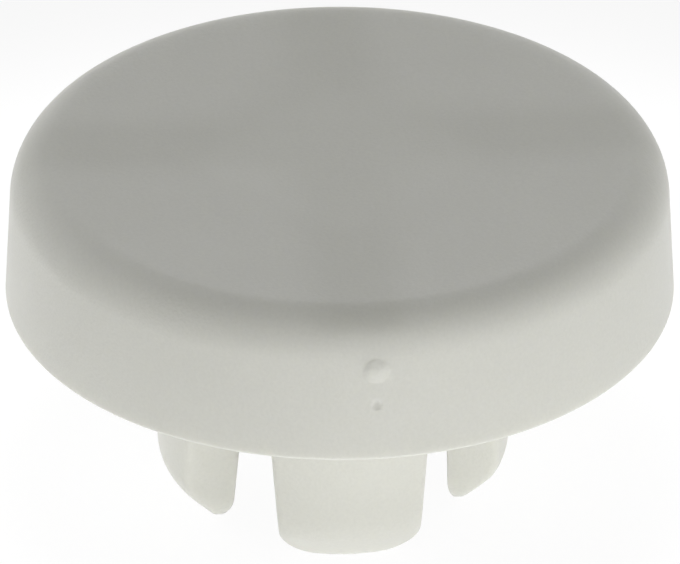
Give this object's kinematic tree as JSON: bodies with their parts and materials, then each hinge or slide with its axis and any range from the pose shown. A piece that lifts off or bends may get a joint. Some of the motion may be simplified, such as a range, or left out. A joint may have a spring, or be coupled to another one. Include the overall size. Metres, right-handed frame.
{
  "type": "plastic hole plug",
  "caption": "Round plastic plug with a domed-edge cap and a ring of split legs, pressed into a round hole in a panel to close it.",
  "frame": {"origin": "on the axis of the plug, in the plane of the seat, where the rim of the cap meets the panel", "axes": "+Z along the axis out of the top of the cap, legs point to -Z; -Y is the side with the gate mark"},
  "size_m": [0.0254, 0.0254, 0.0146],
  "materials": {
    "plug_plastic": "matte natural white, slightly translucent"
  },
  "bodies": {
    "root": {"hole_plug": "plug_plastic"}
  },
  "joints": []
}
